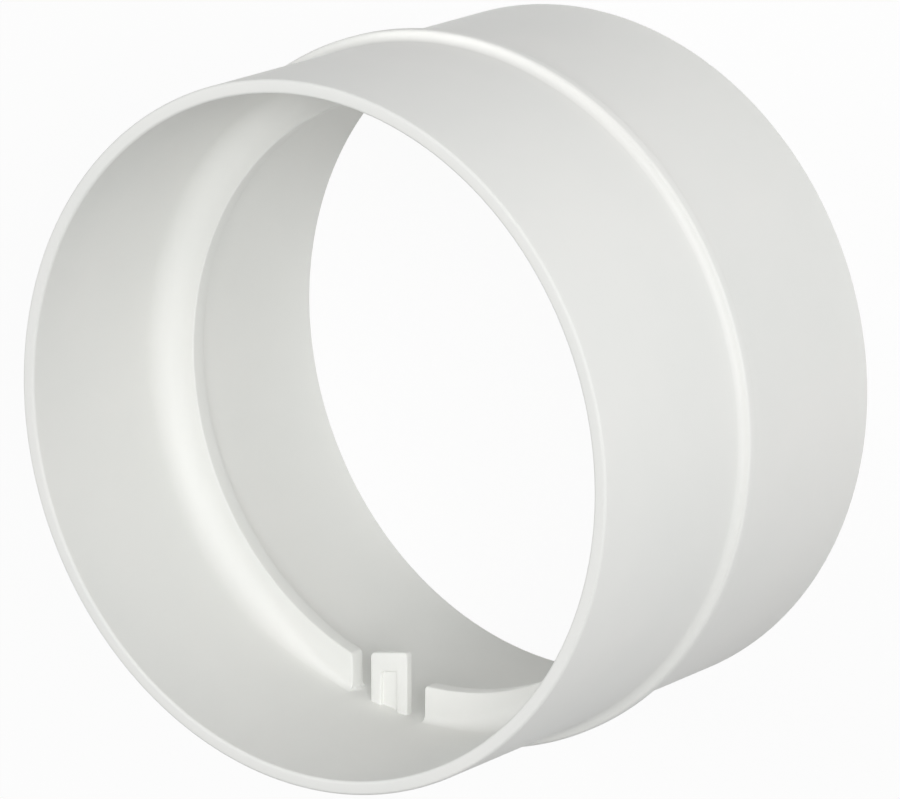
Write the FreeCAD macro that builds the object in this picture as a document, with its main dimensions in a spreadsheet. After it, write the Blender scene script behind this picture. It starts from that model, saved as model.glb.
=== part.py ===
import FreeCAD, Part
import math
import os

import Sketcher

# Round duct connector, moulded in one piece.
# The tube stands on its rear rim: +Z runs along the bore to the front mouth.
# The clip in the stop rib is on the -Y side.

doc = FreeCAD.newDocument("duct_connector")

# Driving sizes, in millimetres and degrees
sheet = doc.addObject("Spreadsheet::Sheet", "sizes")
SIZES = [
    ("sleeve_diameter", 99.5),
    ("wall_thickness", 2.0),
    ("total_length", 64.0),
    ("bead_rise", 1.5),
    ("bead_thickness", 1.8),
    ("rib_height", 5.2),
    ("rib_thickness", 2.5),
    ("rib_foot", 1.0),
    ("rim_chamfer", 0.4),
    ("notch_width", 12.8),
    ("clip_width", 6.4),
    ("clip_height", 8.3),
    ("clip_depth", 1.4),
    ("clip_leg", 1.8),
    ("clip_bar", 2.8),
    ("clip_recess", 0.7),
    ("clip_corner", 0.7),
    ("clip_lean", 9.5),
    ("clip_tilt", 9.5),
]
for row, (alias, value) in enumerate(SIZES, start=1):
    sheet.set("A%d" % row, alias)
    sheet.set("B%d" % row, str(value))
    sheet.setAlias("B%d" % row, alias)
doc.recompute()

# How near an edge lies to the place where it is looked for
TOLERANCE = 1e-4

body = doc.addObject("PartDesign::Body", "connector_body")
body.Label = "connector_body"
body.Placement = FreeCAD.Placement()


def origin_plane(role):
    """The body's own origin plane with this role."""
    for feature in body.Origin.OriginFeatures:
        if feature.Role == role:
            return feature
    raise RuntimeError("no origin plane " + role)


def new_sketch(name, role):
    """An empty sketch on one of the body's origin planes."""
    sketch = body.newObject("Sketcher::SketchObject", name)
    sketch.AttachmentSupport = [(origin_plane(role), "")]
    sketch.MapMode = "FlatFace"
    return sketch


def add_outline(sketch, corners, centres=None):
    """Close a loop of lines through the named corners, with an arc where a centre is given.

    Each side has the name of the corner it starts from; the numbers of the sides come back by name.
    In a constraint a point is a side's number and 1 for its start, 2 for its end or 3 for its centre;
    the pair -1, 1 is the origin, and -2 is the upright axis.
    """
    names = list(corners)
    for name, following in zip(names, names[1:] + names[:1]):
        start = FreeCAD.Vector(*corners[name], 0)
        end = FreeCAD.Vector(*corners[following], 0)
        if not centres or name not in centres:
            sketch.addGeometry(Part.LineSegment(start, end), False)
            continue
        centre = FreeCAD.Vector(*centres[name], 0)
        first = math.atan2(start.y - centre.y, start.x - centre.x)
        last = math.atan2(end.y - centre.y, end.x - centre.x)
        circle = Part.Circle(centre, FreeCAD.Vector(0, 0, 1), (start - centre).Length)
        sketch.addGeometry(Part.ArcOfCircle(circle, first, last), False)
    for number in range(len(names)):
        following = (number + 1) % len(names)
        sketch.addConstraint(Sketcher.Constraint("Coincident", number, 2, following, 1))
    return {name: number for number, name in enumerate(names)}


def hold(sketch, kind, side, names):
    """Keep the named sides level or upright."""
    for name in names:
        sketch.addConstraint(Sketcher.Constraint(kind, side[name]))


def bind(sketch, kind, arguments, value, expression):
    """Add a dimension and drive it from the sheet."""
    number = sketch.addConstraint(Sketcher.Constraint(kind, *arguments, value))
    sketch.setExpression("Constraints[%d]" % number, expression)


def circles_at(radius, heights):
    """Names of the round edges about the axis with this radius, at these heights."""
    names = []
    for number, edge in enumerate(body.Tip.Shape.Edges, start=1):
        if not isinstance(edge.Curve, Part.Circle):
            continue
        centre = edge.Curve.Center
        on_axis = math.hypot(centre.x, centre.y) < TOLERANCE
        at_height = any(abs(centre.z - height) < TOLERANCE for height in heights)
        if on_axis and at_height and abs(edge.Curve.Radius - radius) < TOLERANCE:
            names.append("Edge%d" % number)
    return names


def soften(kind, name, edges, size, alias):
    """Round or bevel these edges of the body's last feature by a size from the sheet."""
    if not edges:
        raise RuntimeError("no edges found for " + name)
    base = body.Tip
    feature = body.newObject(kind, name)
    feature.Base = (base, edges)
    feature.setExpression(size, "sizes." + alias)
    doc.recompute()


# Values for the first drawing of each sketch; the expressions then drive them
radius_out = sheet.sleeve_diameter / 2
radius_in = radius_out - sheet.wall_thickness
bead_radius = radius_out + sheet.bead_rise
rib_radius = radius_in - sheet.rib_height
middle = sheet.total_length / 2
bead_rear = middle - sheet.bead_thickness
rib_front = middle + sheet.rib_thickness

OUT = "sizes.sleeve_diameter / 2"
INSIDE = "(sizes.sleeve_diameter / 2 - sizes.wall_thickness)"
MIDDLE = "sizes.total_length / 2"
RIB_FRONT = "sizes.total_length / 2 + sizes.rib_thickness"

# Half section of the tube: two plain sleeves that meet at the middle plane.
# The bead stands behind that plane on the outside, the stop rib before it on the inside.
section = new_sketch("section", "XZ_Plane")
corners = {
    "rear_rim": (radius_in, 0.0),
    "rear_outside": (radius_out, 0.0),
    "bead_rear": (radius_out, bead_rear),
    "bead_crest": (bead_radius, bead_rear),
    "bead_front": (bead_radius, middle),
    "front_outside": (radius_out, middle),
    "front_rim": (radius_out, sheet.total_length),
    "front_inside": (radius_in, sheet.total_length),
    "rib_front": (radius_in, rib_front),
    "rib_crest": (rib_radius, rib_front),
    "rib_rear": (rib_radius, middle),
    "rear_inside": (radius_in, middle),
}
side = add_outline(section, corners)
LEVEL_SIDES = ("rear_rim", "bead_rear", "bead_front", "front_rim", "rib_front", "rib_rear")
UPRIGHT_SIDES = ("rear_outside", "bead_crest", "front_outside", "front_inside", "rib_crest", "rear_inside")
hold(section, "Horizontal", side, LEVEL_SIDES)
hold(section, "Vertical", side, UPRIGHT_SIDES)
section.addConstraint(Sketcher.Constraint("PointOnObject", side["rear_rim"], 1, -1))
bind(section, "DistanceX", (-1, 1, side["rear_outside"], 1), radius_out, OUT)
bind(section, "DistanceX", (-1, 1, side["front_outside"], 1), radius_out, OUT)
bind(section, "DistanceX", (-1, 1, side["bead_crest"], 1), bead_radius, OUT + " + sizes.bead_rise")
bind(section, "DistanceX", (-1, 1, side["rear_rim"], 1), radius_in, INSIDE)
bind(section, "DistanceX", (-1, 1, side["front_inside"], 1), radius_in, INSIDE)
bind(section, "DistanceX", (-1, 1, side["rib_crest"], 1), rib_radius, INSIDE + " - sizes.rib_height")
bind(section, "DistanceY", (-1, 1, side["front_rim"], 1), sheet.total_length, "sizes.total_length")
bind(section, "DistanceY", (-1, 1, side["bead_front"], 1), middle, MIDDLE)
bind(section, "DistanceY", (-1, 1, side["bead_rear"], 1), bead_rear, MIDDLE + " - sizes.bead_thickness")
bind(section, "DistanceY", (-1, 1, side["rib_front"], 1), rib_front, RIB_FRONT)
bind(section, "DistanceY", (-1, 1, side["rib_rear"], 1), middle, MIDDLE)
doc.recompute()

tube = body.newObject("PartDesign::Revolution", "tube")
tube.Profile = section
tube.ReferenceAxis = (section, ["V_Axis"])
tube.Angle = 360
doc.recompute()

# Bevels on the four rim edges, and round feet where the rib meets the wall
rims = circles_at(radius_out, [0.0, sheet.total_length])
rims = rims + circles_at(radius_in, [0.0, sheet.total_length])
soften("PartDesign::Chamfer", "rim_bevels", rims, "Size", "rim_chamfer")
rib_feet = circles_at(radius_in, [middle, rib_front])
soften("PartDesign::Fillet", "rib_feet", rib_feet, "Radius", "rib_foot")


def leaning_sketch(name, height_expression):
    """A sketch across the bore whose origin is on the wall's inside and whose upright leans with the clip."""
    sketch = new_sketch(name, "XY_Plane")
    lean = FreeCAD.Rotation(FreeCAD.Vector(0, 0, 1), sheet.clip_lean)
    sketch.AttachmentOffset = FreeCAD.Placement(FreeCAD.Vector(0, -radius_in, middle), lean)
    sketch.setExpression("AttachmentOffset.Base.y", "-" + INSIDE)
    sketch.setExpression("AttachmentOffset.Base.z", height_expression)
    sketch.setExpression("AttachmentOffset.Rotation.Angle", "sizes.clip_lean")
    return sketch


# Notch through the rib, down to the inside of the wall; its sides lean with the clip.
# The floor's arc is centred on the bore's axis, as seen from the leaning sketch.
lean_angle = math.radians(sheet.clip_lean)
axis_across = radius_in * math.sin(lean_angle)
axis_up = radius_in * math.cos(lean_angle)
notch_half = sheet.notch_width / 2
notch_top = 2 * sheet.rib_height
floor_left = axis_up - math.sqrt(radius_in ** 2 - (axis_across + notch_half) ** 2)
floor_right = axis_up - math.sqrt(radius_in ** 2 - (axis_across - notch_half) ** 2)
notch_outline = leaning_sketch("notch_outline", "sizes.total_length")
corners = {
    "floor": (-notch_half, floor_left),
    "right": (notch_half, floor_right),
    "top": (notch_half, notch_top),
    "left": (-notch_half, notch_top),
}
side = add_outline(notch_outline, corners, {"floor": (axis_across, axis_up)})
hold(notch_outline, "Vertical", side, ("right", "left"))
notch_outline.addConstraint(Sketcher.Constraint("Symmetric", side["top"], 1, side["top"], 2, -2))
bind(notch_outline, "Radius", (side["floor"],), radius_in, INSIDE)
bind(notch_outline, "DistanceX", (-1, 1, side["floor"], 3), axis_across, INSIDE + " * sin(sizes.clip_lean)")
bind(notch_outline, "DistanceY", (-1, 1, side["floor"], 3), axis_up, INSIDE + " * cos(sizes.clip_lean)")
bind(notch_outline, "DistanceX", (side["top"], 2, side["top"], 1), sheet.notch_width, "sizes.notch_width")
bind(notch_outline, "DistanceY", (-1, 1, side["top"], 1), notch_top, "2 * sizes.rib_height")
doc.recompute()

whole_volume = body.Tip.Shape.Volume
notch = body.newObject("PartDesign::Pocket", "notch")
notch.Profile = notch_outline
notch.Type = "Length"
notch.setExpression("Length", "sizes.total_length")
doc.recompute()
if notch.Shape.Volume >= whole_volume:
    raise RuntimeError("the notch removed nothing")

# The clip stands in the notch, rooted in half the wall, its face level with the rib's.
# Its bar is tilted, so the left end of the top is lower than the right end.
root = -sheet.wall_thickness / 2
clip_half = sheet.clip_width / 2
window_half = clip_half - sheet.clip_leg
bar_slope = math.tan(math.radians(sheet.clip_tilt))
top_left = sheet.clip_height - clip_half * bar_slope
top_right = sheet.clip_height + clip_half * bar_slope
window_left = sheet.clip_height - sheet.clip_bar - window_half * bar_slope
window_right = sheet.clip_height - sheet.clip_bar + window_half * bar_slope

HALF_RISE = "sizes.clip_width / 2 * tan(sizes.clip_tilt)"
WINDOW_RISE = "(sizes.clip_width / 2 - sizes.clip_leg) * tan(sizes.clip_tilt)"
WINDOW_TOP = "sizes.clip_height - sizes.clip_bar"

arch_outline = leaning_sketch("arch_outline", RIB_FRONT)
corners = {
    "left_foot": (-clip_half, root),
    "left_inner": (-window_half, root),
    "window_top": (-window_half, window_left),
    "right_inner": (window_half, window_right),
    "right_foot": (window_half, root),
    "right_side": (clip_half, root),
    "top": (clip_half, top_right),
    "left_side": (-clip_half, top_left),
}
side = add_outline(arch_outline, corners)
hold(arch_outline, "Horizontal", side, ("left_foot", "right_foot"))
hold(arch_outline, "Vertical", side, ("left_inner", "right_inner", "right_side", "left_side"))
arch_outline.addConstraint(Sketcher.Constraint("Symmetric", side["left_foot"], 1, side["right_foot"], 2, -2))
arch_outline.addConstraint(Sketcher.Constraint("Equal", side["left_foot"], side["right_foot"]))
feet = (side["left_foot"], 1, side["right_foot"], 2)
bind(arch_outline, "DistanceX", feet, sheet.clip_width, "sizes.clip_width")
bind(arch_outline, "DistanceX", (side["left_foot"], 1, side["left_foot"], 2), sheet.clip_leg, "sizes.clip_leg")
bind(arch_outline, "DistanceY", (side["left_foot"], 1, -1, 1), -root, "sizes.wall_thickness / 2")
bind(arch_outline, "DistanceY", (-1, 1, side["top"], 1), top_right, "sizes.clip_height + " + HALF_RISE)
bind(arch_outline, "DistanceY", (-1, 1, side["top"], 2), top_left, "sizes.clip_height - " + HALF_RISE)
bind(arch_outline, "DistanceY", (-1, 1, side["window_top"], 1), window_left, WINDOW_TOP + " - " + WINDOW_RISE)
bind(arch_outline, "DistanceY", (-1, 1, side["window_top"], 2), window_right, WINDOW_TOP + " + " + WINDOW_RISE)
doc.recompute()

arch = body.newObject("PartDesign::Pad", "arch")
arch.Profile = arch_outline
arch.Reversed = True
arch.setExpression("Length", "sizes.clip_recess")
doc.recompute()

plate_outline = leaning_sketch("plate_outline", RIB_FRONT + " - sizes.clip_recess")
corners = {
    "foot": (-clip_half, root),
    "right_side": (clip_half, root),
    "top": (clip_half, top_right),
    "left_side": (-clip_half, top_left),
}
side = add_outline(plate_outline, corners)
hold(plate_outline, "Vertical", side, ("right_side", "left_side"))
plate_outline.addConstraint(Sketcher.Constraint("Symmetric", side["foot"], 1, side["foot"], 2, -2))
bind(plate_outline, "DistanceX", (side["foot"], 1, side["foot"], 2), sheet.clip_width, "sizes.clip_width")
bind(plate_outline, "DistanceY", (side["foot"], 1, -1, 1), -root, "sizes.wall_thickness / 2")
bind(plate_outline, "DistanceY", (-1, 1, side["top"], 1), top_right, "sizes.clip_height + " + HALF_RISE)
bind(plate_outline, "DistanceY", (-1, 1, side["top"], 2), top_left, "sizes.clip_height - " + HALF_RISE)
doc.recompute()

plate = body.newObject("PartDesign::Pad", "plate")
plate.Profile = plate_outline
plate.Reversed = True
plate.setExpression("Length", "sizes.clip_depth - sizes.clip_recess")
doc.recompute()


def clip_corners():
    """Names of the clip's two top edges that run along the bore."""
    across = FreeCAD.Vector(math.cos(lean_angle), math.sin(lean_angle), 0)
    inward = FreeCAD.Vector(-math.sin(lean_angle), math.cos(lean_angle), 0)
    foot = FreeCAD.Vector(0, -radius_in, 0)
    left_end = foot - across * clip_half + inward * top_left
    right_end = foot + across * clip_half + inward * top_right
    names = []
    for number, edge in enumerate(body.Tip.Shape.Edges, start=1):
        first = edge.Vertexes[0].Point
        last = edge.Vertexes[-1].Point
        flat_first = FreeCAD.Vector(first.x, first.y, 0)
        flat_last = FreeCAD.Vector(last.x, last.y, 0)
        for end in (left_end, right_end):
            if (flat_first - end).Length < TOLERANCE and (flat_last - end).Length < TOLERANCE:
                names.append("Edge%d" % number)
    return names


soften("PartDesign::Fillet", "clip_rounds", clip_corners(), "Radius", "clip_corner")
doc.recompute()

# Check every object, then write the solid
for item in doc.Objects:
    for problem in ("Invalid", "Error"):
        if problem in item.State:
            raise RuntimeError(item.Name + " is " + problem)
    shape = getattr(item, "Shape", None)
    if shape is None or not item.isDerivedFrom("PartDesign::Feature"):
        continue
    if shape.isNull() or not shape.isValid():
        raise RuntimeError(item.Name + " has a bad shape")
if body.Shape.isNull() or not body.Shape.isValid():
    raise RuntimeError("the body has a bad shape")
if len(body.Shape.Solids) != 1:
    raise RuntimeError("the body is not one solid")

os.makedirs("parts", exist_ok=True)
body.Shape.exportStep("parts/" + body.Label + ".step")
print("volume", round(body.Shape.Volume, 1), "box", body.Shape.BoundBox)
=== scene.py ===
# %% [markdown]
# A round duct connector is one moulding: a short tube that joins two ducts end to end. This
# lesson gives it a smooth moulded skin, a satin white plastic and a plain studio.

import bpy
import numpy as np
from mathutils import Matrix, Vector


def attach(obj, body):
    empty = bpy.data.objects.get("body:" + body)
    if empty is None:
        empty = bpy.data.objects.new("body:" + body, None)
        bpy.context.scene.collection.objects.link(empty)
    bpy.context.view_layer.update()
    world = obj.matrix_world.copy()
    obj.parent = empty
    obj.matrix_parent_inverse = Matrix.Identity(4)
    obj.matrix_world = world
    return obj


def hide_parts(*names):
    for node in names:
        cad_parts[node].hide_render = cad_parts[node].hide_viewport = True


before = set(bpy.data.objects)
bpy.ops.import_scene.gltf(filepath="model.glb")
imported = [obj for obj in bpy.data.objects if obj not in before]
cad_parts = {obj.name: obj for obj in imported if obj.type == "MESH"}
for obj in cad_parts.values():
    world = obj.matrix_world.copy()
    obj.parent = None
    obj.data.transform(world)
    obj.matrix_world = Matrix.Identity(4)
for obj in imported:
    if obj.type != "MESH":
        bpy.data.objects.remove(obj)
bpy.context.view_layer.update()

# %% [markdown]
# The tube is a shape that a lathe could turn, so its whole surface is one closed outline spun about Z.
# A Screw modifier could spin it too, but a grid of computed points lets the notch be cut in the same mesh.
# The solid's sizes are repeated here in millimetres. Real mouldings have no sharp edges, so the outline also
# has the small roundings that light up along the rims, at the bead's feet and on the rib's crest. The front
# feet of the bead and the rib get softer coves than the solid has.

# %% Sizes of the moulding in millimetres
SLEEVE_RADIUS = 49.75
BORE_RADIUS = 47.75
LENGTH = 64.0
MIDDLE = LENGTH / 2
BEAD_RISE = 1.5
BEAD_THICK = 1.8
BEAD_FOOT = 0.6
BEAD_COVE = 1.0
BEAD_EDGE = 0.4
RIB_HEIGHT = 5.2
RIB_THICK = 2.5
RIB_FOOT = 1.0
RIB_COVE = 4.2
RIB_EDGE = 0.25
RIM_ROUND = 0.45


def arc(centre, radius, start, stop, count):
    """Points of a circle's arc: centre plus radius times (cos, sin) of evenly spaced angles in degrees."""
    angle = np.radians(np.linspace(start, stop, count))
    return np.column_stack([centre[0] + radius * np.cos(angle), centre[1] + radius * np.sin(angle)])


print("wall is", SLEEVE_RADIUS - BORE_RADIUS, "mm thick, tube", LENGTH, "mm long")

# %% [markdown]
# Two rings meet at the tube's middle plane, where the halves of the mould part. Behind the plane stands the
# bead outside, which stops the duct; before it stands the rib inside. Each is a low rectangle in the outline,
# with a hollow fillet at both feet and a tiny rounding along both edges of its crest. A Bevel modifier could
# round these edges, but with arcs in the outline each edge has a radius of its own.

# %% Outline of the tube's outside and rims
ROUND_POINTS = 7
EDGE_POINTS = 5

bead_radius = SLEEVE_RADIUS + BEAD_RISE
bead_rear = MIDDLE - BEAD_THICK
bead_crest = bead_radius - BEAD_EDGE
bead_foot = SLEEVE_RADIUS + BEAD_FOOT
bead_cove = SLEEVE_RADIUS + BEAD_COVE
outer_lip = SLEEVE_RADIUS - RIM_ROUND
inner_lip = BORE_RADIUS + RIM_ROUND
outside = np.vstack([
    arc((outer_lip, RIM_ROUND), RIM_ROUND, -90, 0, ROUND_POINTS),
    arc((bead_foot, bead_rear - BEAD_FOOT), BEAD_FOOT, 180, 90, ROUND_POINTS),
    arc((bead_crest, bead_rear + BEAD_EDGE), BEAD_EDGE, -90, 0, EDGE_POINTS),
    arc((bead_crest, MIDDLE - BEAD_EDGE), BEAD_EDGE, 0, 90, EDGE_POINTS),
    arc((bead_cove, MIDDLE + BEAD_COVE), BEAD_COVE, 270, 180, ROUND_POINTS),
    arc((outer_lip, LENGTH - RIM_ROUND), RIM_ROUND, 0, 90, ROUND_POINTS),
])
front_lip = arc((inner_lip, LENGTH - RIM_ROUND), RIM_ROUND, 90, 180, ROUND_POINTS)
rear_lip = arc((inner_lip, RIM_ROUND), RIM_ROUND, 180, 270, ROUND_POINTS)
print("points outside and on the rims:", len(outside) + len(front_lip) + len(rear_lip))

# %% [markdown]
# The rib stops the duct's end or a seal on the inside. Its front foot is a wide soft cove, and beside the
# notch it tightens to a small fillet. One outline can't do both, so a helper makes a tight and a soft one
# with equally many points, and the surface blends them later.

# %% Outlines of the rib
COVE_POINTS = 12

rib_radius = BORE_RADIUS - RIB_HEIGHT
rib_front = MIDDLE + RIB_THICK
rib_crest = rib_radius + RIB_EDGE


def rib_outline(cove):
    """The rib from its front foot, an arc of the cove's radius, over the crest to the small rear foot."""
    return np.vstack([
        arc((BORE_RADIUS - cove, rib_front + cove), cove, 0, -90, COVE_POINTS),
        arc((rib_crest, rib_front - RIB_EDGE), RIB_EDGE, 90, 180, EDGE_POINTS),
        arc((rib_crest, MIDDLE + RIB_EDGE), RIB_EDGE, 180, 270, EDGE_POINTS),
        arc((BORE_RADIUS - RIB_FOOT, MIDDLE - RIB_FOOT), RIB_FOOT, 90, 0, COVE_POINTS),
    ])


tight_rib = rib_outline(RIB_FOOT)
soft_rib = rib_outline(RIB_COVE)
print("points on the rib:", len(tight_rib))

# %% [markdown]
# The rib is missing over a short stretch, the notch. A Boolean modifier could cut it out, but it would leave
# sharp ends and long thin faces. One grid can make it too: along the angle, the rib's outline fades into the
# plain wall. The grid's columns crowd together at the notch's two ends, where the surface turns. The notch
# leans a little, so its ends are at slightly different distances from the middle of its floor.

# %% Columns round the tube
NOTCH_HALF = 6.4
NOTCH_LEAN = np.radians(9.5)
END_ROUND = 0.5
END_FOOT = 0.6
FLOOR_COLUMNS = 9
FOOT_ANGLES = np.radians(np.linspace(15, 88, 6))
CREST_ANGLES = np.radians(np.linspace(4, 90, 7))
RING_COLUMNS = 150


def half_columns(end):
    """Distances along the wall from the notch's middle to the far side, and how deep each is in the rib.
    Columns crowd where the end turns: as the sine in its foot fillet, as one minus the cosine at its crest."""
    distance = np.concatenate([
        np.linspace(0.0, end - END_FOOT, FLOOR_COLUMNS),
        end - END_FOOT * (1 - np.sin(FOOT_ANGLES)),
        end + END_ROUND * (1 - np.cos(CREST_ANGLES)),
        np.linspace(end + END_ROUND, np.pi * BORE_RADIUS, RING_COLUMNS)[1:],
    ])
    return distance, distance - end


lean_shift = BORE_RADIUS * np.sin(NOTCH_LEAN)
right_end = (NOTCH_LEAN + np.arcsin((NOTCH_HALF - lean_shift) / BORE_RADIUS)) * BORE_RADIUS
left_end = -(NOTCH_LEAN + np.arcsin((-NOTCH_HALF - lean_shift) / BORE_RADIUS)) * BORE_RADIUS
right_distance, right_depth = half_columns(right_end)
left_distance, left_depth = half_columns(left_end)
turn = np.concatenate([-left_distance[:0:-1], right_distance[:-1]]) / BORE_RADIUS
into_rib = np.concatenate([left_depth[:0:-1], right_depth[:-1]])
print("columns round the tube:", len(turn), "notch ends at", left_end.round(2), right_end.round(2), "mm")

# %% [markdown]
# How much of the rib is left in a column depends on the distance into the rib from the notch's end. A moulded
# end has a rounded corner at the crest and a small fillet at the floor, and both are quarter circles.

# %% How much of the rib each column keeps
near_foot = np.clip(into_rib + END_FOOT, 0, END_FOOT)
near_crest = np.clip(END_ROUND - into_rib, 0, END_ROUND)
foot_height = END_FOOT - np.sqrt(END_FOOT ** 2 - near_foot ** 2)
crest_drop = END_ROUND - np.sqrt(END_ROUND ** 2 - near_crest ** 2)
kept = np.where(into_rib < 0, foot_height / RIB_HEIGHT, 1 - crest_drop / RIB_HEIGHT)
print("columns with the whole rib:", int((kept == 1).sum()))

# %% [markdown]
# The notch's ends are parallel, as a straight tool in the mould makes them. A point that stands off the wall
# therefore turns a little, so that it stays on a straight line that leans like the notch.

# %% The tube's surface
COVE_REACH = 14.0


def tube_surface(turn, kept, into_rib):
    """Grid of points: the outline's radius and height at every angle from -Y, as (r sin, -r cos, z).
    The rib's outline goes from tight at the notch to soft, as one minus a bell curve of the distance into it.
    On the rib, radius and height are the weighted mean of the plain wall and the rib's outline.
    Near the notch a column is a straight line: the sine of its angle from the lean grows as the radius shrinks."""
    softness = 1 - np.exp(-(np.maximum(into_rib, 0) / COVE_REACH) ** 2)
    rib = tight_rib + softness[:, None, None] * (soft_rib - tight_rib)
    wall = np.column_stack([
        np.full(len(tight_rib), BORE_RADIUS),
        np.linspace(tight_rib[0, 1], tight_rib[-1, 1], len(tight_rib)),
    ])
    faded = wall + kept[:, None, None] * (rib - wall)
    columns = len(turn)
    outline = np.concatenate([
        np.broadcast_to(outside, (columns, *outside.shape)),
        np.broadcast_to(front_lip, (columns, *front_lip.shape)),
        faded,
        np.broadcast_to(rear_lip, (columns, *rear_lip.shape)),
    ], axis=1)
    radius = outline[:, :, 0]
    sine = BORE_RADIUS * np.sin(turn - NOTCH_LEAN)[:, None] / np.minimum(radius, BORE_RADIUS)
    straight = NOTCH_LEAN + np.arcsin(np.clip(sine, -1, 1))
    nearness = np.exp(-(into_rib / NOTCH_HALF) ** 2)[:, None]
    angle = turn[:, None] + nearness * (straight - turn[:, None])
    return np.stack([radius * np.sin(angle), -radius * np.cos(angle), outline[:, :, 1]], axis=2)


def grid_faces(rows, columns, rows_close):
    """Quads between neighbouring grid points; the columns always close and the rows may."""
    last = rows if rows_close else rows - 1
    row, column = np.meshgrid(np.arange(last), np.arange(columns), indexing="ij")
    next_row = (row + 1) % rows
    next_column = (column + 1) % columns
    corners = [
        row * columns + column,
        next_row * columns + column,
        next_row * columns + next_column,
        row * columns + next_column,
    ]
    return np.stack(corners, axis=2).reshape(-1, 4)


# %% [markdown]
# A mesh from many small flat faces looks smooth when the shading is blended across its edges. Only edges
# steeper than the crisp angle keep a hard line, such as those where the recess meets its floor.

# %% Make the tube
MM = 0.001
CRISP_ANGLE = np.radians(40)


def moulded_piece(name, points, faces):
    """A smooth-shaded mesh object at the origin, from points in millimetres; steep edges stay crisp."""
    mesh = bpy.data.meshes.new(name)
    mesh.from_pydata((points * MM).tolist(), [], faces)
    mesh.validate()
    mesh.shade_smooth()
    mesh.set_sharp_from_angle(angle=CRISP_ANGLE)
    piece = bpy.data.objects.new(name, mesh)
    bpy.context.scene.collection.objects.link(piece)
    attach(piece, "root")
    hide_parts("connector_body")
    print(name, "has", len(mesh.polygons), "faces")
    return piece


tube_grid = tube_surface(turn, kept, into_rib)
tube_faces = grid_faces(tube_grid.shape[0], tube_grid.shape[1], True).tolist()
tube = moulded_piece("moulded_tube", tube_grid.reshape(-1, 3), tube_faces)

# %% [markdown]
# The clip in the notch is a small arch: two legs and a bar round a shallow recess, with a plate behind.
# A bevelled cube with a cut-out could make it, but nested rings give each edge its own rounding: they run
# from the back plate's edge round the side and the front rim into the recess. Each ring is a rectangle with
# rounded corners, so a ring is only a few numbers and a depth. The bar is tilted, so the upper corners of
# every ring slide up with their distance to the right.

# %% Sizes of the clip in millimetres
CLIP_WIDTH = 6.4
CLIP_HEIGHT = 8.3
CLIP_DEPTH = 1.4
CLIP_LEG = 1.8
CLIP_BAR = 2.8
CLIP_RECESS = 0.7
CLIP_CORNER = 0.7
CLIP_EDGE = 0.25
CLIP_SLOPE = np.tan(np.radians(9.5))
CLIP_ROOT = 1.0
WINDOW_ROOT = 0.5
WINDOW_CORNER = 0.35
LIP_EDGE = 0.2
CORNER_POINTS = 6


def clip_rings(left, right, bottom, top, corner):
    """Rings of rounded rectangles: each corner's centre plus its radius times (cos, sin) over a quarter turn.
    The upper two corners then rise by the bar's slope times their distance to the right."""
    quarter = np.radians(np.linspace(0, 90, CORNER_POINTS))
    angle = np.concatenate([quarter, quarter + np.pi / 2, quarter + np.pi, quarter + 1.5 * np.pi])
    on_right = np.repeat([1, 0, 0, 1], CORNER_POINTS)
    on_top = np.repeat([1, 1, 0, 0], CORNER_POINTS)
    inset = corner[:, None]
    x = np.where(on_right, right[:, None] - inset, left[:, None] + inset) + inset * np.cos(angle)
    y = np.where(on_top, top[:, None] - inset, bottom[:, None] + inset) + inset * np.sin(angle)
    return x, y + on_top * CLIP_SLOPE * x


# %% [markdown]
# The rings step over each edge along a quarter circle: first out from the back, then up to the front, over
# the lip of the recess and down to its floor. Then the whole grid leans and is set on the bore's wall.

# %% The rings of the clip
round_off = np.radians(np.linspace(0, 90, EDGE_POINTS))
edge_in = CLIP_EDGE * (1 - np.sin(round_off))
edge_up = CLIP_EDGE * (1 - np.cos(round_off))
lip_out = LIP_EDGE * (1 - np.sin(round_off))
lip_down = LIP_EDGE * (1 - np.cos(round_off))
clip_back = rib_front - CLIP_DEPTH

outer_inset = np.concatenate([edge_in, edge_in[::-1]])
outer_depth = np.concatenate([clip_back + edge_up, rib_front - edge_up[::-1]])
window_inset = np.concatenate([-lip_out, [0.0]])
window_depth = np.concatenate([rib_front - lip_down, [rib_front - CLIP_RECESS]])

half = CLIP_WIDTH / 2
window_half = half - CLIP_LEG
window_top = CLIP_HEIGHT - CLIP_BAR
left = np.concatenate([-half + outer_inset, -window_half + window_inset])
bottom = np.concatenate([-CLIP_ROOT + outer_inset, -WINDOW_ROOT + window_inset])
top = np.concatenate([CLIP_HEIGHT - outer_inset, window_top - window_inset])
corner = np.concatenate([CLIP_CORNER - outer_inset, WINDOW_CORNER - window_inset])
depth = np.concatenate([outer_depth, window_depth])
print("rings of the clip:", len(depth))

# %% [markdown]
# The mould forms the clip and the tube in one shot. Here it is an object of its own, because its rings and
# the tube's columns don't meet point by point. Its lower end is sunk into the wall, so no gap can be seen.

# %% Make the clip
ring_x, ring_y = clip_rings(left, -left, bottom, top, corner)
clip_grid = np.stack([
    ring_x * np.cos(NOTCH_LEAN) - ring_y * np.sin(NOTCH_LEAN),
    ring_x * np.sin(NOTCH_LEAN) + ring_y * np.cos(NOTCH_LEAN) - BORE_RADIUS,
    np.broadcast_to(depth[:, None], ring_x.shape),
], axis=2)
rings, around = ring_x.shape
side_faces = grid_faces(rings, around, False)[:, ::-1].tolist()
back_face = list(range(around))[::-1]
recess_face = list(range((rings - 1) * around, rings * around))
clip = moulded_piece("notch_clip", clip_grid.reshape(-1, 3), side_faces + [back_face, recess_face])

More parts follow.
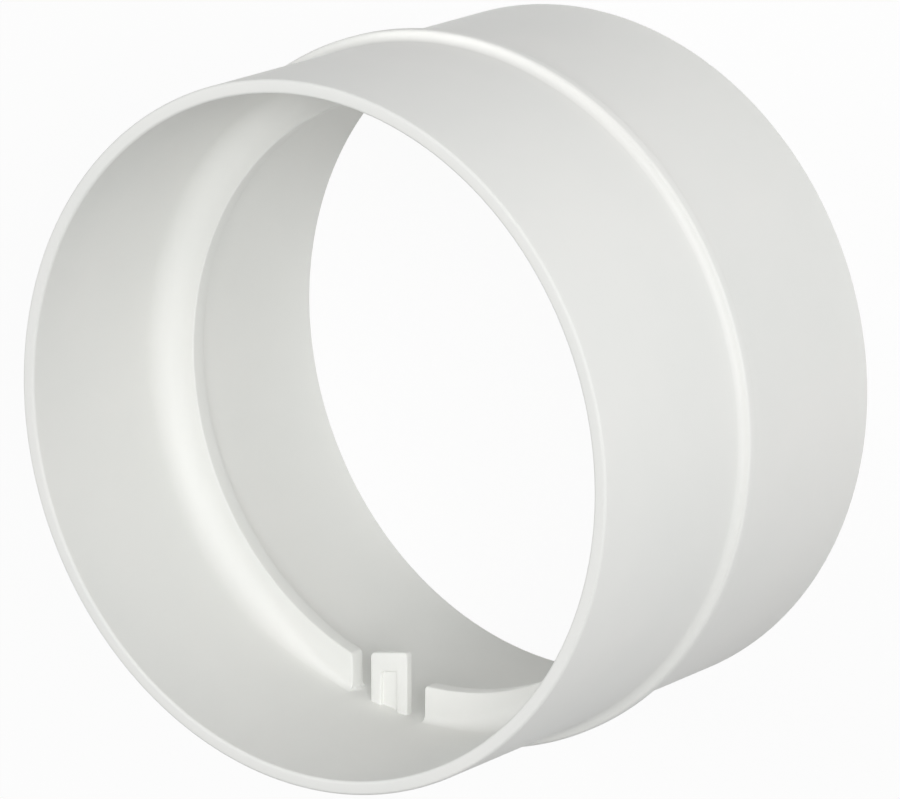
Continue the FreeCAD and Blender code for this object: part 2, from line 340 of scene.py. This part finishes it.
# %% [markdown]
# The plastic is white ABS, moulded against a lightly blasted steel tool. To the eye that is a satin
# white: soft wide highlights, a very fine grain, and slow ripples where the thick wall shrank a little.
# A painted image would need the mesh unwrapped. Noise on the object's own coordinates needs nothing, and
# stays in place on the surface. Colours are written as sRGB hex values, as a colour picker shows them, and
# turned to the linear values that Blender calculates with.

# %% Colour and node helpers


def linear(hex_colour):
    """Linear RGBA of an sRGB hex colour, by the standard's two-part curve."""
    srgb = np.array([int(hex_colour[i:i + 2], 16) for i in (1, 3, 5)]) / 255
    value = np.where(srgb <= 0.04045, srgb / 12.92, ((srgb + 0.055) / 1.055) ** 2.4)
    return (*value.tolist(), 1.0)


def add_node(tree, kind, settings=None, inputs=None, links=None):
    """One node with its settings, its socket values and the sockets that feed it."""
    node = tree.nodes.new(kind)
    for name, value in (settings or {}).items():
        setattr(node, name, value)
    for name, value in (inputs or {}).items():
        node.inputs[name].default_value = value
    for name, source in (links or {}).items():
        tree.links.new(source, node.inputs[name])
    return node


def empty_material(name):
    """A node material with nothing in its tree."""
    material = bpy.data.materials.new(name)
    material.use_nodes = True
    material.node_tree.nodes.clear()
    return material


# %% [markdown]
# Each pattern's scale comes from a real size: one noise cell is about as wide as the size divided into a
# metre. The tool's blasted grain is near 0.1 mm, too fine for this picture, so it is drawn at 0.5 mm.
# The same noise that ripples the wall also makes it a little glossier in some places than in others.

# %% Moulded satin white ABS: patterns
GRAIN_MM = 0.5
RIPPLE_MM = 14.0
CLOUD_MM = 30.0

abs_white = empty_material("moulded_satin_white_abs")
tree = abs_white.node_tree
place = add_node(tree, "ShaderNodeTexCoord")
grain = add_node(
    tree, "ShaderNodeTexNoise", {"noise_dimensions": "3D"},
    {"Scale": 1 / (GRAIN_MM * MM), "Detail": 2.0, "Roughness": 0.5}, {"Vector": place.outputs["Object"]},
)
ripple = add_node(
    tree, "ShaderNodeTexNoise", {"noise_dimensions": "3D"},
    {"Scale": 1 / (RIPPLE_MM * MM), "Detail": 1.0, "Roughness": 0.4}, {"Vector": place.outputs["Object"]},
)
cloud = add_node(
    tree, "ShaderNodeTexNoise", {"noise_dimensions": "3D"},
    {"Scale": 1 / (CLOUD_MM * MM), "Detail": 3.0, "Roughness": 0.55}, {"Vector": place.outputs["Object"]},
)
print("pattern nodes:", len(tree.nodes))

# %% [markdown]
# One Principled shader takes the patterns. The white varies by a trace, as in pigment that isn't mixed quite
# evenly. The roughness is high, because a blasted tool leaves no mirror gloss. Two Bump nodes in a chain add
# the ripple and then the grain; real displacement would need far more faces for the same look.

# %% Moulded satin white ABS: colour, gloss and relief
ABS_IOR = 1.53
NOISE_LOW, NOISE_HIGH = 0.3, 0.7
SMOOTHEST, ROUGHEST = 0.56, 0.64
RIPPLE_RISE_MM, RIPPLE_STRENGTH = 0.2, 0.25
GRAIN_RISE_MM, GRAIN_STRENGTH = 0.04, 0.12

tint = add_node(tree, "ShaderNodeValToRGB", None, None, {"Fac": cloud.outputs["Fac"]})
tint.color_ramp.elements[0].position = NOISE_LOW
tint.color_ramp.elements[0].color = linear("#F2F3F0")
tint.color_ramp.elements[1].position = NOISE_HIGH
tint.color_ramp.elements[1].color = linear("#F6F6F3")
polish = add_node(
    tree, "ShaderNodeMapRange", None,
    {"From Min": NOISE_LOW, "From Max": NOISE_HIGH, "To Min": SMOOTHEST, "To Max": ROUGHEST},
    {"Value": ripple.outputs["Fac"]},
)
slow_bump = add_node(
    tree, "ShaderNodeBump", None, {"Strength": RIPPLE_STRENGTH, "Distance": RIPPLE_RISE_MM * MM},
    {"Height": ripple.outputs["Fac"]},
)
fine_bump = add_node(
    tree, "ShaderNodeBump", None, {"Strength": GRAIN_STRENGTH, "Distance": GRAIN_RISE_MM * MM},
    {"Height": grain.outputs["Fac"], "Normal": slow_bump.outputs["Normal"]},
)
surface = add_node(
    tree, "ShaderNodeBsdfPrincipled", None, {"IOR": ABS_IOR},
    {
        "Base Color": tint.outputs["Color"],
        "Roughness": polish.outputs["Result"],
        "Normal": fine_bump.outputs["Normal"],
    },
)
add_node(tree, "ShaderNodeOutputMaterial", None, None, {"Surface": surface.outputs["BSDF"]})
for piece in (tube, clip):
    piece.data.materials.append(abs_white)
print("material:", abs_white.name)

# %% [markdown]
# The studio is a wide white floor under a weak even sky. More lamps could make the floor white, but they
# would bleach the plastic too. So the floor lights the object as plain pale paint does, and only looks white
# to the camera and in reflections, with a little of its real shading left in, so that the connector's soft
# shadow still grounds it.

# %% White to the view


def white_to_view(tree, lit, white, share):
    """Mix two shaders: rays from the camera, a reflection or a clear body meet that share of the white one."""
    path = add_node(tree, "ShaderNodeLightPath")
    seen = add_node(
        tree, "ShaderNodeMath", {"operation": "MAXIMUM"}, None,
        {0: path.outputs["Is Camera Ray"], 1: path.outputs["Is Glossy Ray"]},
    )
    seen_all = add_node(
        tree, "ShaderNodeMath", {"operation": "MAXIMUM"}, None,
        {0: seen.outputs[0], 1: path.outputs["Is Transmission Ray"]},
    )
    weight = add_node(tree, "ShaderNodeMath", {"operation": "MULTIPLY"}, {1: share}, {0: seen_all.outputs[0]})
    return add_node(tree, "ShaderNodeMixShader", None, None, {0: weight.outputs[0], 1: lit, 2: white})


# %% [markdown]
# The floor is one big square with a matt paint. A curved studio backdrop would do as well, but the edge of a
# floor that looks white can't be told from the white behind it, so a flat square is enough.

# %% Floor
FLOOR_SIZE = 8.0
SHADOW_SHARE = 0.06

reach = FLOOR_SIZE / 2
floor_mesh = bpy.data.meshes.new("studio_floor")
floor_corners = [(-reach, -reach, 0), (reach, -reach, 0), (reach, reach, 0), (-reach, reach, 0)]
floor_mesh.from_pydata(floor_corners, [], [(0, 1, 2, 3)])
floor = bpy.data.objects.new("studio_floor", floor_mesh)
bpy.context.scene.collection.objects.link(floor)

floor_paint = empty_material("matt_white_floor_paint")
tree = floor_paint.node_tree
paint = add_node(tree, "ShaderNodeBsdfDiffuse", None, {"Color": linear("#E6E6E6")})
glow = add_node(tree, "ShaderNodeEmission", None, {"Color": linear("#FFFFFF"), "Strength": 1.0})
mixed = white_to_view(tree, paint.outputs["BSDF"], glow.outputs["Emission"], 1 - SHADOW_SHARE)
add_node(tree, "ShaderNodeOutputMaterial", None, None, {"Surface": mixed.outputs["Shader"]})
floor_mesh.materials.append(floor_paint)
print("floor is", FLOOR_SIZE, "m wide")

# %% [markdown]
# The sky fills the deepest shadows a little. A panorama photograph could light the scene too, but an even
# white has no shapes that would show up in the satin surface, and needs no file.

# %% Sky
SKY_STRENGTH = 0.18

world = bpy.data.worlds.new("studio_sky")
bpy.context.scene.world = world
world.use_nodes = True
tree = world.node_tree
tree.nodes.clear()
sky = add_node(tree, "ShaderNodeBackground", None, {"Color": linear("#FFFFFF"), "Strength": SKY_STRENGTH})
white = add_node(tree, "ShaderNodeBackground", None, {"Color": linear("#FFFFFF"), "Strength": 1.0})
backdrop = white_to_view(tree, sky.outputs["Background"], white.outputs["Background"], 1.0)
add_node(tree, "ShaderNodeOutputWorld", None, None, {"Surface": backdrop.outputs["Shader"]})
print("sky strength:", SKY_STRENGTH)

# %% [markdown]
# The camera stands where the photographer stood: it looks into the front mouth from one side, so the tube
# seems to lie down and the clip comes to the lower left. It could be turned by eye until the picture fits.
# Here its direction, distance and lens were found by fitting the rims, the bead and the rib's crest of this
# round tube to their outlines in the picture, which is more exact.

# %% Camera
LENS_MM = 263.552
SENSOR_MM = 36.0
EYE = Vector((0.47873, 0.31771, 0.75052))
RIGHT = (0.796824, 0.134276, -0.589102)
UP = (-0.308869, 0.928496, -0.206144)
BACK = (0.519298, 0.346216, 0.781322)

camera_data = bpy.data.cameras.new("product_camera")
camera_data.sensor_width = SENSOR_MM
camera_data.lens = LENS_MM
camera = bpy.data.objects.new("product_camera", camera_data)
bpy.context.scene.collection.objects.link(camera)
camera_turn = Matrix((RIGHT, UP, BACK)).transposed()
camera.matrix_world = Matrix.Translation(EYE) @ camera_turn.to_4x4()
bpy.context.scene.camera = camera
print("camera stands", round(EYE.length, 3), "m from the rear rim's centre")

# %% [markdown]
# Four square soft lamps make the plastic's slow shading. One lamp would leave the bore dark, so each has its
# task. The strongest stands beside the camera, and a weak one to its right brightens the outside. One looks
# into the front mouth and reaches the rib. The last stands on the left and lights the far side of the bore,
# which sends that light back to the side in view. All are placed by the camera's own right, up and back
# directions, so that they are easy to find in the picture.

# %% Soft lamps
LAMP_DISTANCE = 1.3
LAMP_SIZE = 0.5
OBJECT_CENTRE = Vector((0.0, 0.0, MIDDLE * MM))


def soft_lamp(name, right, up, back, power):
    """A square area lamp in a mix of the camera's right, up and back directions, aimed at the object."""
    toward = (camera_turn @ Vector((right, up, back))).normalized()
    data = bpy.data.lights.new(name, "AREA")
    data.shape = "SQUARE"
    data.size = LAMP_SIZE
    data.energy = power
    lamp = bpy.data.objects.new(name, data)
    aim = toward.to_track_quat("Z", "Y").to_matrix().to_4x4()
    lamp.matrix_world = Matrix.Translation(OBJECT_CENTRE + toward * LAMP_DISTANCE) @ aim
    bpy.context.scene.collection.objects.link(lamp)
    print(name, "at", [round(v, 2) for v in lamp.matrix_world.translation])


soft_lamp("camera_softbox", right=0.12, up=-0.05, back=1.0, power=8.4)
soft_lamp("mouth_softbox", right=-0.5, up=0.2, back=0.8, power=1.8)
soft_lamp("right_softbox", right=0.5, up=0.1, back=0.85, power=1.2)
soft_lamp("left_softbox", right=-0.95, up=0.1, back=0.25, power=4.3)

# %% Finish
bpy.context.scene.view_settings.view_transform = "Standard"
